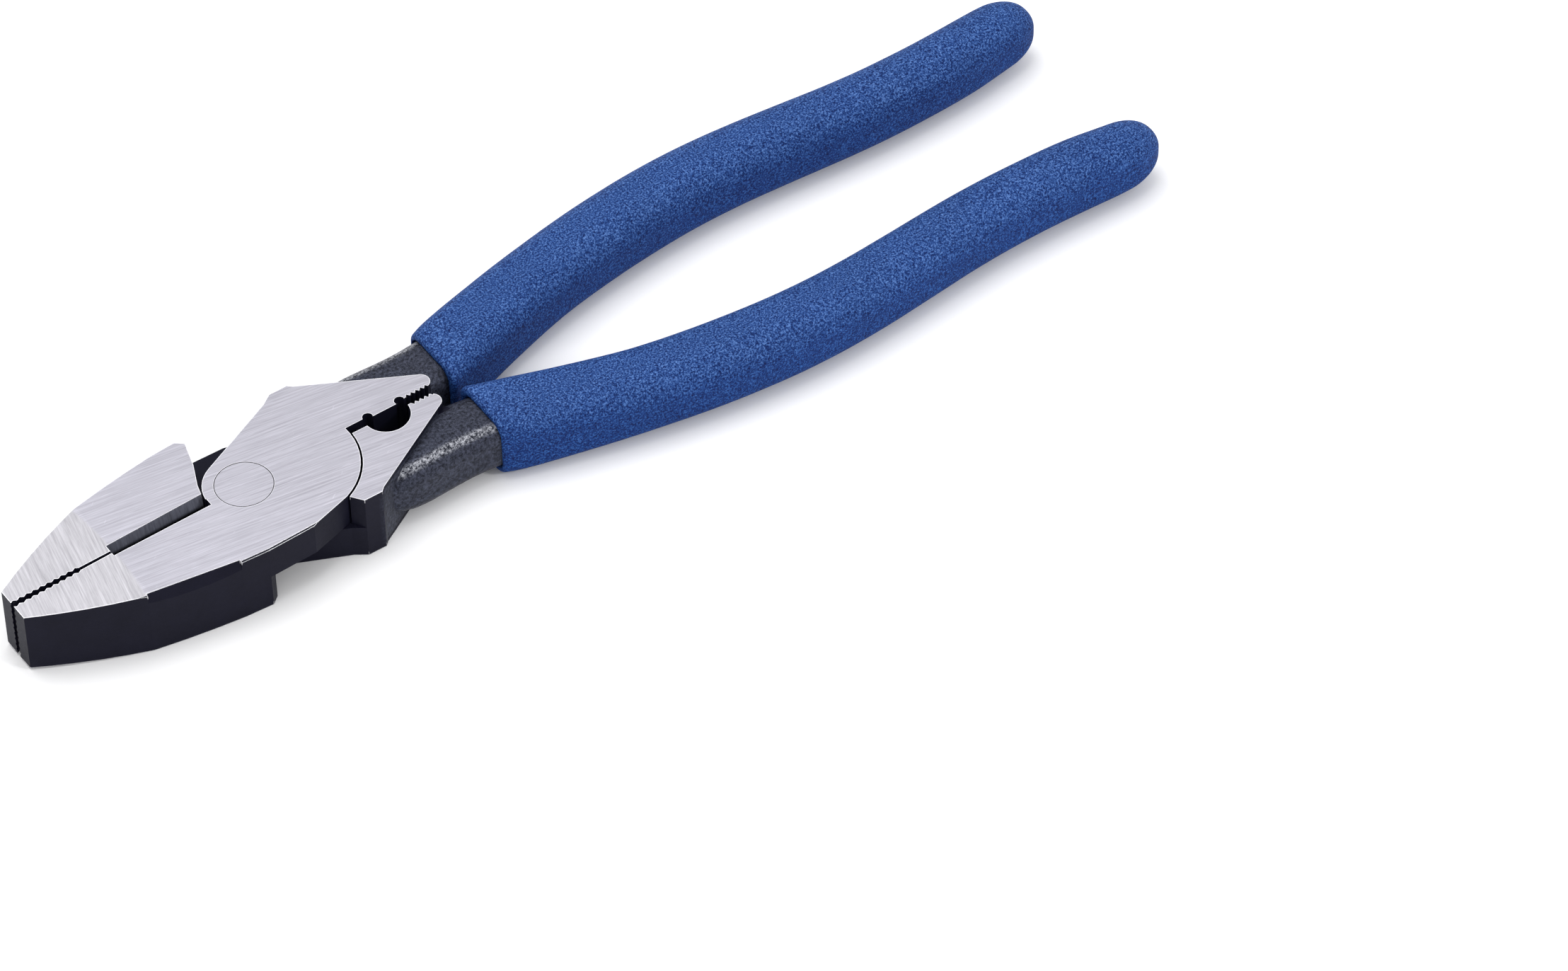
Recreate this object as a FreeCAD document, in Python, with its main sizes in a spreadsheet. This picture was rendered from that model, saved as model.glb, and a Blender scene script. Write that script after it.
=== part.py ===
"""Lineman pliers: two forged halves crossing at a flush rivet, with a dipped grip on each handle.

The frame: +X runs from the rivet to the nose, +Y to the side of the upper half's jaw, +Z up along
the rivet. The origin is on the rivet's axis at the ground underside. Every outline is drawn with
the jaws shut, and each half is then turned about the rivet by half of the opening at rest.
"""
import FreeCAD, Part
import math
import os
import Sketcher

Vector = FreeCAD.Vector

SIZES = {
    # head, seen from above with the jaws shut; y values are distances from the middle line
    "head_thick": 14.6,
    "lap_gap": 0.1,
    "rest_opening": 0.85,
    "jaw_face": 0.08,
    "tip_x": 48.6,
    "tip_half": 3.5,
    "nose_curve": 130.0,
    "bend_x": 28.3,
    "bend_y": 12.6,
    "cheek_curve": 200.0,
    "cheek_x": 10.5,
    "cheek_y": 15.6,
    "widest_x": 5.0,
    "widest_y": 16.0,
    "shoulder_x": -4.8,
    "shoulder_y": 15.8,
    "front_arc": 7.6,
    "front_arc_end_x": 3.14,
    "front_arc_end_y": 6.92,
    # heel of the jaw, which meets the other half's plate when the tool is wide open
    "heel_face_x": 7.9,
    "heel_low_x": 7.6,
    "heel_low_y": 2.2,
    "heel_mid_x": 6.95,
    "heel_mid_y": 4.6,
    "heel_high_x": 4.9,
    "heel_high_y": 9.4,
    "heel_top_x": 3.4,
    "heel_top_y": 14.7,
    # rear of the plate: the arc's centre lies behind the rivet, so that it clears on opening
    "rear_arc": 14.6,
    "rear_arc_start_y": 13.42,
    "rear_arc_end_x": -22.23,
    "socket_arc": 14.95,
    "socket_arc_start_x": -13.9,
    "socket_arc_start_y": 13.58,
    "socket_arc_end_x": -22.58,
    # tail behind the joint, which carries the crimping dies
    "tail_join_x": -26.0,
    "tail_edge_x": -13.4,
    "tail_edge_y": 14.4,
    "tail_corner_x": -15.6,
    "tail_corner_y": 15.9,
    "tail_back_x": -19.4,
    "tail_flank_x": -20.2,
    "tail_flank_y": 15.1,
    "tail_tip_x": -40.3,
    "tail_tip_y": 4.0,
    "tail_tip_curve": 1.8,
    "tail_face_x": -40.0,
    "tail_short": 0.9,
    "tail_face_y": 0.6,
    "recess_y": 0.72,
    "recess_end_x": -27.0,
    "anvil_y": 0.25,
    "anvil_end_x": -33.9,
    # crimping dies
    "nest_x": -30.2,
    "nest_y": 0.35,
    "nest_radius": 4.4,
    "notch_y": 0.65,
    "notch_radius": 1.0,
    "die_pitch": 1.0,
    "die_depth": 0.6,
    "die_count": 5,
    "die_start_x": -35.7,
    # gripping teeth and knives
    "tooth_pitch": 1.43,
    "tooth_depth": 0.38,
    "tooth_count": 10,
    "tooth_start_x": 35.2,
    "cross_count": 9,
    "knife_start_x": 7.4,
    "knife_end_x": 28.0,
    "narrow_heel_y": 0.7,
    "narrow_nose_y": 0.8,
    "wide_heel_y": 2.45,
    "wide_nose_y": 1.6,
    "slope_start_x": 27.6,
    "slope_drop": 0.6,
    # rivet, with a head sunk flush in each half
    "rivet_radius": 4.0,
    "rivet_clearance": 0.05,
    "rivet_head_radius": 5.45,
    "rivet_rim": 1.0,
    "rivet_cone": 1.6,
    "rivet_edge": 0.12,
    # edges
    "cheek_bevel": 0.65,
    "cheek_bevel_depth": 2.0,
    "shoulder_bevel": 0.3,
    # handles
    "grip_end_x": -189.3,
}

# stations of a handle: name, x, y of the middle, half width, half height, and the corner radius
# as a share of the half height
TANG_STATIONS = [
    ("tang_a", -22.7, 7.9, 5.4, 3.8, 0.6),
    ("tang_b", -27.0, 8.05, 6.2, 5.4, 0.6),
    ("tang_c", -42.0, 7.95, 6.1, 5.6, 0.6),
    ("tang_d", -48.0, 8.8, 6.0, 5.5, 0.6),
    ("tang_e", -60.0, 12.3, 5.6, 5.3, 0.65),
    ("tang_f", -76.0, 16.4, 5.2, 5.2, 0.7),
    ("tang_g", -94.0, 19.25, 4.9, 5.0, 0.7),
    ("tang_h", -112.0, 20.3, 4.6, 4.8, 0.7),
    ("tang_i", -130.0, 19.25, 4.4, 4.6, 0.7),
    ("tang_j", -148.0, 17.6, 4.2, 4.4, 0.7),
    ("tang_k", -166.0, 17.35, 4.0, 4.2, 0.7),
    ("tang_l", -178.0, 18.2, 3.5, 3.8, 0.7),
]
GRIP_STATIONS = [
    ("grip_a", -45.5, 7.9, 7.45, 6.95, 0.5),
    ("grip_b", -52.0, 9.95, 7.5, 7.1, 0.55),
    ("grip_c", -60.0, 12.3, 7.4, 7.2, 0.65),
    ("grip_d", -76.0, 16.4, 7.16, 7.2, 0.78),
    ("grip_e", -94.0, 19.25, 7.07, 7.2, 0.8),
    ("grip_f", -112.0, 20.3, 6.85, 7.2, 0.8),
    ("grip_g", -130.0, 19.25, 6.6, 7.2, 0.8),
    ("grip_h", -148.0, 17.6, 6.35, 7.1, 0.8),
    ("grip_i", -166.0, 17.4, 6.15, 7.1, 0.8),
    ("grip_j", -180.0, 18.5, 5.65, 6.9, 0.8),
]

# how a grip's end rounds off: share of the way to the end, and share of the section left there
DOME_STEPS = [(0.0, 1.0), (0.45, 0.9), (0.8, 0.64), (0.95, 0.35), (1.0, 0.16)]

UPPER = 1
LOWER = -1

doc = FreeCAD.newDocument("LinemanPliers")
sheet = doc.addObject("Spreadsheet::Sheet", "Sizes")


class Measure:
    """A number together with the expression that ties it to the sheet."""

    def __init__(self, value, text):
        self.value = value
        self.text = text

    def __add__(self, other):
        other = as_measure(other)
        return Measure(self.value + other.value, f"({self.text} + {other.text})")

    def __sub__(self, other):
        other = as_measure(other)
        return Measure(self.value - other.value, f"({self.text} - {other.text})")

    def __mul__(self, other):
        other = as_measure(other)
        return Measure(self.value * other.value, f"({self.text} * {other.text})")

    __rmul__ = __mul__

    def __neg__(self):
        return self * -1


def as_measure(number):
    """Let a plain number take part in the arithmetic."""
    if isinstance(number, Measure):
        return number
    return Measure(number, f"({number})")


def dim(alias):
    """Read one dimension of the sheet."""
    return Measure(float(sheet.get(alias)), f"Sizes.{alias}")


def fill_sheet():
    """Write the driving dimensions and the handles' stations into the sheet."""
    values = dict(SIZES)
    for name, x, y, wide, high, corner in TANG_STATIONS + GRIP_STATIONS:
        values.update({name + "_x": x, name + "_y": y, name + "_wide": wide, name + "_high": high})
        values[name + "_corner"] = corner
    for row, (alias, value) in enumerate(values.items(), start=1):
        sheet.set(f"A{row}", alias)
        sheet.set(f"B{row}", str(value))
        sheet.setAlias(f"B{row}", alias)
    doc.recompute()


def new_body(label):
    """Start a sub-part."""
    body = doc.addObject("PartDesign::Body", label)
    body.Label = label
    return body


def origin_item(body, role):
    """Find one of the planes or axes of a body's own origin."""
    return next(item for item in body.Origin.OriginFeatures if item.Role == role)


def new_sketch(body, name, plane, lift=None):
    """Make a sketch on an origin plane, moved along the plane's normal by a measure."""
    sketch = body.newObject("Sketcher::SketchObject", name)
    sketch.AttachmentSupport = [(origin_item(body, plane), "")]
    sketch.MapMode = "FlatFace"
    if lift is not None:
        sketch.setExpression("AttachmentOffset.Base.z", lift.text)
    return sketch


def tie(sketch, constraint, label, measure):
    """Add a constraint whose value comes from the sheet."""
    index = sketch.addConstraint(constraint)
    sketch.renameConstraint(index, label)
    sketch.setExpression(f"Constraints.{label}", measure.text)


def pin_point(sketch, edge, end, label, x, y):
    """Hold one end of an edge at its distances from the sketch's origin."""
    tie(sketch, Sketcher.Constraint("DistanceX", -1, 1, edge, end, x.value), label + "_x", x)
    tie(sketch, Sketcher.Constraint("DistanceY", -1, 1, edge, end, y.value), label + "_y", y)


def arc_between(start, end, radius):
    """Make the short arc between two points; a negative radius turns clockwise."""
    chord = end - start
    reach = math.sqrt(max(radius ** 2 - (chord.Length / 2) ** 2, 0.0))
    turn = math.copysign(1, radius)
    left = Vector(-chord.y, chord.x, 0).normalize() * turn
    centre = (start + end) * 0.5 + left * reach
    return Part.Arc(start, centre - left * abs(radius), end)


def draw_outline(sketch, corners):
    """Draw a closed outline of corners (x, y, radius of the edge that leaves it, or None)."""
    points = [Vector(x.value, y.value, 0) for x, y, radius in corners]
    ends = []
    for index, (x, y, radius) in enumerate(corners):
        start = points[index]
        end = points[(index + 1) % len(points)]
        if radius is None:
            sketch.addGeometry(Part.LineSegment(start, end), False)
        else:
            sketch.addGeometry(arc_between(start, end, radius.value), False)
        clockwise = radius is not None and radius.value < 0
        ends.append((2, 1) if clockwise else (1, 2))
    for index, (x, y, radius) in enumerate(corners):
        following = (index + 1) % len(corners)
        sketch.addConstraint(Sketcher.Constraint("Coincident", index, ends[index][1],
                                                 following, ends[following][0]))
        pin_point(sketch, index, ends[index][0], f"corner{index}", x, y)
        if radius is not None:
            size = radius if radius.value > 0 else -radius
            tie(sketch, Sketcher.Constraint("Radius", index, size.value), f"curve{index}", size)


def draw_circle(sketch, x, y, radius):
    """Draw one circle at a place given by the sheet."""
    edge = sketch.addGeometry(Part.Circle(Vector(x.value, y.value, 0), Vector(0, 0, 1),
                                          radius.value), False)
    pin_point(sketch, edge, 3, f"centre{edge}", x, y)
    tie(sketch, Sketcher.Constraint("Radius", edge, radius.value), f"radius{edge}", radius)


def pad(body, name, corners, low, length):
    """Raise an outline drawn at one height by a length."""
    sketch = new_sketch(body, name + "_outline", "XY_Plane", low)
    draw_outline(sketch, corners)
    feature = body.newObject("PartDesign::Pad", name)
    feature.Profile = sketch
    feature.setExpression("Length", length.text)
    doc.recompute()
    return feature


def cut(body, name, sketch, length):
    """Cut a sketch both ways from its plane, and check that it removed something."""
    before = body.Shape.Volume
    feature = body.newObject("PartDesign::Pocket", name)
    feature.Profile = sketch
    feature.SideType = "Symmetric"
    feature.setExpression("Length", length.text)
    doc.recompute()
    if feature.Shape.Volume > before - 0.01:
        raise RuntimeError(f"{name} removed nothing")
    return feature


def repeat(body, name, original, axis, reverse, pitch, count):
    """Repeat a cut along an axis of the body at an even pitch."""
    pattern = body.newObject("PartDesign::LinearPattern", name)
    pattern.Originals = [original]
    pattern.Direction = (origin_item(body, axis), [""])
    pattern.Reversed = reverse
    pattern.setExpression("Occurrences", count.text)
    pattern.setExpression("Length", (pitch * (count - 1)).text)
    body.Tip = pattern
    doc.recompute()
    return pattern


def outer_jaw(side):
    """Return the jaw's outer corners, from the tip back to its widest point."""
    return [
        (dim("tip_x"), side * dim("tip_half"), side * dim("nose_curve")),
        (dim("bend_x"), side * dim("bend_y"), side * dim("cheek_curve")),
        (dim("cheek_x"), side * dim("cheek_y"), None),
        (dim("widest_x"), side * dim("widest_y"), None),
    ]


def plate_outline(side):
    """Return the half-thickness plate that laps over the other half and carries the rivet."""
    return outer_jaw(side) + [
        (dim("shoulder_x"), side * dim("shoulder_y"), None),
        (dim("tail_edge_x"), side * dim("rear_arc_start_y"), side * dim("rear_arc")),
        (dim("rear_arc_end_x"), -side * dim("recess_y"), None),
        (dim("tail_join_x"), -side * dim("recess_y"), None),
        (dim("tail_flank_x"), -side * dim("tail_flank_y"), None),
        (dim("tail_back_x"), -side * dim("tail_corner_y"), None),
        (dim("tail_corner_x"), -side * dim("tail_corner_y"), None),
        (dim("tail_edge_x"), -side * dim("tail_edge_y"), None),
        (dim("front_arc_end_x"), -side * dim("front_arc_end_y"), side * dim("front_arc")),
        (dim("front_arc"), side * dim("jaw_face"), None),
        (dim("tip_x"), side * dim("jaw_face"), None),
    ]


def jaw_outline(side):
    """Return the full-thickness jaw, whose heel is the opening stop."""
    return outer_jaw(side) + [
        (dim("heel_top_x"), side * dim("heel_top_y"), None),
        (dim("heel_high_x"), side * dim("heel_high_y"), None),
        (dim("heel_mid_x"), side * dim("heel_mid_y"), None),
        (dim("heel_low_x"), side * dim("heel_low_y"), None),
        (dim("heel_face_x"), side * dim("jaw_face"), None),
        (dim("tip_x"), side * dim("jaw_face"), None),
    ]


def tail_outline(side):
    """Return the full-thickness tail; the upper's inner face is stepped, the lower's is shorter."""
    short = dim("tail_short") * (0 if side == UPPER else 1)
    if side == UPPER:
        steps = [
            (dim("anvil_end_x"), -dim("tail_face_y"), None),
            (dim("anvil_end_x"), -dim("anvil_y"), None),
            (dim("recess_end_x"), -dim("anvil_y"), None),
            (dim("recess_end_x"), -dim("recess_y"), None),
        ]
    else:
        steps = [
            (dim("anvil_end_x"), dim("tail_face_y"), None),
            (dim("anvil_end_x"), dim("recess_y"), None),
        ]
    return [
        (dim("socket_arc_start_x"), -side * dim("socket_arc_start_y"), None),
        (dim("tail_corner_x"), -side * dim("tail_corner_y"), None),
        (dim("tail_back_x"), -side * dim("tail_corner_y"), None),
        (dim("tail_flank_x"), -side * dim("tail_flank_y"), None),
        (dim("tail_tip_x") + short, -side * dim("tail_tip_y"), -side * dim("tail_tip_curve")),
        (dim("tail_face_x") + short, -side * dim("tail_face_y"), None),
    ] + steps + [
        (dim("socket_arc_end_x"), -side * dim("recess_y"), side * dim("socket_arc")),
    ]


def groove_corners(middle, face, depth, half):
    """Return the three corners of a V groove cut into a face; depth carries the sign."""
    return [
        (middle - half, face, None),
        (middle + half, face, None),
        (middle, face + depth, None),
    ]


def add_rivet_hole(body, side):
    """Bore the plate for the rivet's shank and sink a seat for its head."""
    thick = dim("head_thick")
    clearance = dim("rivet_clearance")
    shank = dim("rivet_radius") + clearance
    head = dim("rivet_head_radius") + clearance
    rim = dim("rivet_rim")
    cone = dim("rivet_cone")
    bore = body.newObject("PartDesign::SubtractiveCylinder", "rivet_bore")
    bore.setExpression("Radius", shank.text)
    bore.setExpression("Height", thick.text)
    seat_rim = body.newObject("PartDesign::SubtractiveCylinder", "rivet_seat_rim")
    seat_rim.setExpression("Radius", head.text)
    seat_rim.setExpression("Height", rim.text)
    seat_cone = body.newObject("PartDesign::SubtractiveCone", "rivet_seat_cone")
    seat_cone.setExpression("Height", cone.text)
    if side == UPPER:
        seat_rim.setExpression("Placement.Base.z", (thick - rim).text)
        seat_cone.setExpression("Placement.Base.z", (thick - rim - cone).text)
        seat_cone.setExpression("Radius1", shank.text)
        seat_cone.setExpression("Radius2", head.text)
    else:
        seat_cone.setExpression("Placement.Base.z", rim.text)
        seat_cone.setExpression("Radius1", head.text)
        seat_cone.setExpression("Radius2", shank.text)
    doc.recompute()


def add_teeth(body, side):
    """Cut the nose's gripping teeth: V grooves up the jaw face, crossed by V grooves along it."""
    thick = dim("head_thick")
    pitch = dim("tooth_pitch")
    face = side * (dim("jaw_face") - 0.02)
    depth = side * dim("tooth_depth")
    upright = new_sketch(body, "tooth_outline", "XY_Plane")
    draw_outline(upright, groove_corners(dim("tooth_start_x"), face, depth, pitch * 0.46))
    tooth = cut(body, "tooth", upright, thick * 3)
    repeat(body, "teeth", tooth, "X_Axis", False, pitch, dim("tooth_count"))
    length = dim("tip_x") - dim("tooth_start_x")
    cross = new_sketch(body, "cross_tooth_outline", "YZ_Plane", dim("tip_x"))
    middle = thick * 0.5 - pitch * (dim("cross_count") - 1) * 0.5
    draw_outline(cross, [
        (face, middle - pitch * 0.46, None),
        (face, middle + pitch * 0.46, None),
        (face + depth, middle, None),
    ])
    crossing = cut(body, "cross_tooth", cross, length * 2 + pitch)
    repeat(body, "cross_teeth", crossing, "Z_Axis", False, pitch, dim("cross_count"))


def add_knife(body, side):
    """Bevel the jaw face behind the teeth from both ground faces down to a cutting edge.

    The bevel on the plate's side of each half is narrow, and the other one is wide.
    """
    thick = dim("head_thick")
    middle = thick * 0.5
    inner = -side * as_measure(1.0)
    edge = side * dim("jaw_face")
    beyond = 1.0
    for name, ground, turn in (("top", thick, 1), ("bottom", thick * 0, -1)):
        width = "narrow" if turn == side else "wide"
        sections = []
        for end, x in (("heel", dim("knife_start_x")), ("nose", dim("knife_end_x"))):
            outer = side * dim(f"{width}_{end}_y")
            sketch = new_sketch(body, f"knife_{name}_{end}_outline", "YZ_Plane", x)
            draw_outline(sketch, [
                (inner, ground + turn * beyond, None),
                (outer, ground + turn * beyond, None),
                (outer, ground, None),
                (edge, middle + turn * 0.05, None),
                (inner, middle + turn * 0.05, None),
            ])
            sections.append(sketch)
        loft(body, "Subtractive", f"knife_{name}", sections)


def add_nose_slope(body):
    """Grind the nose a little thinner towards the tip on both faces."""
    thick = dim("head_thick")
    start = dim("slope_start_x")
    tip = dim("tip_x") + 0.5
    for name, ground, turn in (("top", thick, 1), ("bottom", thick * 0, -1)):
        sketch = new_sketch(body, f"slope_{name}_outline", "XZ_Plane")
        draw_outline(sketch, [
            (start, ground, None),
            (tip, ground - turn * dim("slope_drop"), None),
            (tip, ground + turn * as_measure(1.0), None),
            (start, ground + turn * as_measure(1.0), None),
        ])
        cut(body, f"slope_{name}", sketch, dim("widest_y") * 4)


def add_dies(body, side):
    """Cut the crimping dies: notches and anvil in the upper half, a round nest in the lower."""
    thick = dim("head_thick")
    sketch = new_sketch(body, "die_outline", "XY_Plane")
    if side == UPPER:
        for x in (dim("recess_end_x"), dim("anvil_end_x")):
            draw_circle(sketch, x, -dim("notch_y"), dim("notch_radius"))
    else:
        draw_circle(sketch, dim("nest_x"), dim("nest_y"), dim("nest_radius"))
    cut(body, "die", sketch, thick * 3)
    groove = new_sketch(body, "die_tooth_outline", "XY_Plane")
    pitch = dim("die_pitch")
    face = -side * (dim("tail_face_y") - 0.02)
    depth = -side * dim("die_depth")
    draw_outline(groove, groove_corners(dim("die_start_x"), face, depth, pitch * 0.46))
    tooth = cut(body, "die_tooth", groove, thick * 3)
    repeat(body, "die_teeth", tooth, "X_Axis", True, pitch, dim("die_count"))


def on_level(edge, level):
    """Tell whether a whole edge lies at one height."""
    span = edge.BoundBox
    return abs(span.ZMin - level) < 0.01 and abs(span.ZMax - level) < 0.01


def bevel_shoulder(body, side):
    """Break the ground face's outer rim from the cheek to the shoulder."""
    ground = dim("head_thick").value if side == UPPER else 0.0
    cheek = dim("cheek_x").value
    shoulder = dim("shoulder_x").value
    inside = dim("tip_half").value

    def is_rim(edge):
        middle = edge.CenterOfGravity
        return on_level(edge, ground) and shoulder < middle.x < cheek and middle.y * side > inside

    base = body.Tip
    rims = [f"Edge{index}" for index, edge in enumerate(base.Shape.Edges, start=1) if is_rim(edge)]
    feature = body.newObject("PartDesign::Chamfer", "shoulder_bevel")
    feature.Base = (base, rims)
    feature.setExpression("Size", dim("shoulder_bevel").text)
    doc.recompute()


def bevel_cheek(body, side):
    """Bevel the ground face's outer rim along the cheek, from the bend to the shoulder's bevel."""
    ground = dim("head_thick") * (1 if side == UPPER else 0)
    width = dim("cheek_bevel")
    depth = dim("cheek_bevel_depth") * side
    beyond = as_measure(side)
    sections = []
    for end in ("cheek", "bend"):
        outer = side * dim(f"{end}_y")
        sketch = new_sketch(body, f"{end}_bevel_outline", "YZ_Plane", dim(f"{end}_x"))
        draw_outline(sketch, [
            (outer - side * width, ground, None),
            (outer + side * width, ground - depth * 2, None),
            (outer + side * width, ground + beyond, None),
            (outer - side * width, ground + beyond, None),
        ])
        sections.append(sketch)
    loft(body, "Subtractive", "cheek_bevel", sections)


def station_section(body, label, station, side, scale=1.0, x=None):
    """Draw one rounded section of a handle across X, on the handle's own side."""
    x = dim(station + "_x") if x is None else x
    middle = dim("head_thick") * 0.5
    wide = dim(station + "_wide") * scale
    high = dim(station + "_high") * scale
    corner = high * dim(station + "_corner")
    across = side * dim(station + "_y")
    sketch = new_sketch(body, label, "YZ_Plane", x)
    flat = wide - corner
    up = high - corner
    draw_outline(sketch, [
        (across + flat, middle - high, corner),
        (across + wide, middle - up, None),
        (across + wide, middle + up, corner),
        (across + flat, middle + high, None),
        (across - flat, middle + high, corner),
        (across - wide, middle + up, None),
        (across - wide, middle - up, corner),
        (across - flat, middle - high, None),
    ])
    return sketch


def loft(body, kind, name, sections):
    """Loft through sections, adding to or cutting from the body."""
    feature = body.newObject(f"PartDesign::{kind}Loft", name)
    feature.Profile = sections[0]
    feature.Sections = sections[1:]
    doc.recompute()
    return feature


def tang_sections(body, side):
    """Draw every section of a half's handle."""
    return [station_section(body, f"{station[0]}_section", station[0], -side)
            for station in TANG_STATIONS]


def turn_to_rest(body, side):
    """Open a sub-part about the rivet by half of the opening that the tool rests at."""
    body.Placement = FreeCAD.Placement(Vector(0, 0, 0), FreeCAD.Rotation(Vector(0, 0, 1), side))
    body.setExpression("Placement.Rotation.Angle", (side * dim("rest_opening") * 0.5).text)


def make_half(label, side):
    """Build one forged half: jaw, lapped plate, tail with its dies, and the tang of its handle."""
    body = new_body(label)
    thick = dim("head_thick")
    plate_thick = (thick - dim("lap_gap")) * 0.5
    plate_low = thick - plate_thick if side == UPPER else thick * 0
    pad(body, "plate", plate_outline(side), plate_low, plate_thick)
    pad(body, "jaw", jaw_outline(side), thick * 0, thick)
    pad(body, "tail", tail_outline(side), thick * 0, thick)
    loft(body, "Additive", "tang", tang_sections(body, side))
    bevel_shoulder(body, side)
    bevel_cheek(body, side)
    add_knife(body, side)
    add_nose_slope(body)
    add_rivet_hole(body, side)
    add_dies(body, side)
    add_teeth(body, side)
    turn_to_rest(body, side)
    return body


def make_grip(label, side):
    """Build one dipped grip: a closed-end sleeve over the tang behind the joint."""
    body = new_body(label)
    names = [station[0] for station in GRIP_STATIONS]
    sections = [station_section(body, f"{name}_section", name, -side) for name in names]
    loft(body, "Additive", "sleeve", sections)
    last = names[-1]
    start = dim(last + "_x")
    reach = dim("grip_end_x") - start
    dome = []
    for index, (along, left) in enumerate(DOME_STEPS):
        x = start + reach * along
        dome.append(station_section(body, f"dome{index}", last, -side, left, x))
    loft(body, "Additive", "end", dome)
    loft(body, "Subtractive", "tang_space", tang_sections(body, side))
    turn_to_rest(body, side)
    return body


def make_rivet():
    """Build the rivet from a shank, two sunk cones and two rims with a broken edge."""
    thick = dim("head_thick")
    rim = dim("rivet_rim")
    cone = dim("rivet_cone")
    edge = dim("rivet_edge")
    head = dim("rivet_head_radius")
    shank_radius = dim("rivet_radius")
    shank = doc.addObject("Part::Cylinder", "rivet_shank")
    shank.setExpression("Radius", shank_radius.text)
    shank.setExpression("Height", (thick - rim * 2).text)
    shank.setExpression("Placement.Base.z", rim.text)
    pieces = [shank]
    levels = [
        ("lower_edge", thick * 0, edge, head - edge, head),
        ("lower_rim", edge, rim - edge, head, None),
        ("lower_cone", rim, cone, head, shank_radius),
        ("upper_cone", thick - rim - cone, cone, shank_radius, head),
        ("upper_rim", thick - rim, rim - edge, head, None),
        ("upper_edge", thick - edge, edge, head, head - edge),
    ]
    for name, low, height, start_radius, end_radius in levels:
        straight = end_radius is None
        piece = doc.addObject("Part::Cylinder" if straight else "Part::Cone", "rivet_" + name)
        piece.setExpression("Height", height.text)
        piece.setExpression("Placement.Base.z", low.text)
        if straight:
            piece.setExpression("Radius", start_radius.text)
        else:
            piece.setExpression("Radius1", start_radius.text)
            piece.setExpression("Radius2", end_radius.text)
        pieces.append(piece)
    rivet = doc.addObject("Part::MultiFuse", "pivot_rivet")
    rivet.Shapes = pieces
    rivet.Refine = True
    rivet.Label = "pivot_rivet"
    return rivet


def check_and_export(parts):
    """Stop on any failed object or bad shape, then write one STEP file for each sub-part."""
    doc.recompute()
    for item in doc.Objects:
        if "Invalid" in item.State or "Error" in item.State:
            raise RuntimeError(f"{item.Name} failed: {item.State}")
    os.makedirs("parts", exist_ok=True)
    for part in parts:
        shape = part.Shape
        if shape.isNull() or not shape.isValid():
            raise RuntimeError(f"{part.Label} has a bad shape")
        box = shape.BoundBox
        print(f"{part.Label}: {len(shape.Solids)} solid, {shape.Volume:.0f} mm3, "
              f"x {box.XMin:.1f}..{box.XMax:.1f}, y {box.YMin:.1f}..{box.YMax:.1f}, "
              f"z {box.ZMin:.1f}..{box.ZMax:.1f}")
        shape.exportStep(f"parts/{part.Label}.step")


fill_sheet()
check_and_export([
    make_half("upper_half", UPPER),
    make_half("lower_half", LOWER),
    make_grip("upper_half_grip", UPPER),
    make_grip("lower_half_grip", LOWER),
    make_rivet(),
])
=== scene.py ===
"""Lineman pliers: steel finishes, dipped grips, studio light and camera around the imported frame.

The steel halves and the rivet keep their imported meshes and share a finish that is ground, dull or
black by the place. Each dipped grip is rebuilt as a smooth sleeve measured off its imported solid.
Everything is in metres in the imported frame: +X to the nose, +Y to the upper jaw, +Z up.
"""

import logging
import math
from dataclasses import dataclass
from enum import Enum

import bpy
import numpy as np
from mathutils import Matrix, Vector, noise


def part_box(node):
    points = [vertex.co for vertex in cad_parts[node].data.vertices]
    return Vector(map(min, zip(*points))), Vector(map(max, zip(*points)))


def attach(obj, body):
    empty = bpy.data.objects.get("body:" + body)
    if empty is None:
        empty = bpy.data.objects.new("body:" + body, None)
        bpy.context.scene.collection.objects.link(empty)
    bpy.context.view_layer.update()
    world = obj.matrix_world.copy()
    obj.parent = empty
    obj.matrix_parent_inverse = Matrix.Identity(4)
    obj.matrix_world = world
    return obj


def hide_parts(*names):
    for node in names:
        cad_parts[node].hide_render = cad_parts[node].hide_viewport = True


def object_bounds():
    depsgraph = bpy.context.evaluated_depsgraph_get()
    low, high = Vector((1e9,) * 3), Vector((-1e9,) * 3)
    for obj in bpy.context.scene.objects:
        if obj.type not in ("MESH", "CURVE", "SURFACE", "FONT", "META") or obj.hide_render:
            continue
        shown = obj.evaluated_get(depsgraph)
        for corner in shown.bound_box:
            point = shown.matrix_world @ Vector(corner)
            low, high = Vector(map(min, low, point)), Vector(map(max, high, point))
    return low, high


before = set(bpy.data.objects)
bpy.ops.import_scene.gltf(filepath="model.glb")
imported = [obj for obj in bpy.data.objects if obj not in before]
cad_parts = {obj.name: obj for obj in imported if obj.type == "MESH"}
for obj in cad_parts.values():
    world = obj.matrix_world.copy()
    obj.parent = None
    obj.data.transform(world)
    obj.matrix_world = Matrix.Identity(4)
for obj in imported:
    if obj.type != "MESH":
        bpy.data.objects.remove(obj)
CAD_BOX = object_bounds()

log = logging.getLogger("pliers")

MM = 0.001
Colour = tuple[float, float, float]
Waves = tuple[float, float, float]
Ramp = tuple[float, float]
Swing = tuple[float, float]


class Side(Enum):
    """The two forged halves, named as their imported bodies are."""

    UPPER = "upper"
    LOWER = "lower"

    @property
    def steel(self) -> str:
        """Return the name of the half's forged node."""
        return f"{self.value}_half"

    @property
    def grip(self) -> str:
        """Return the name of the half's grip node."""
        return f"{self.value}_half_grip"


class Axis(Enum):
    """The outputs of a Separate XYZ node."""

    X = "X"
    Y = "Y"
    Z = "Z"


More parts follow.
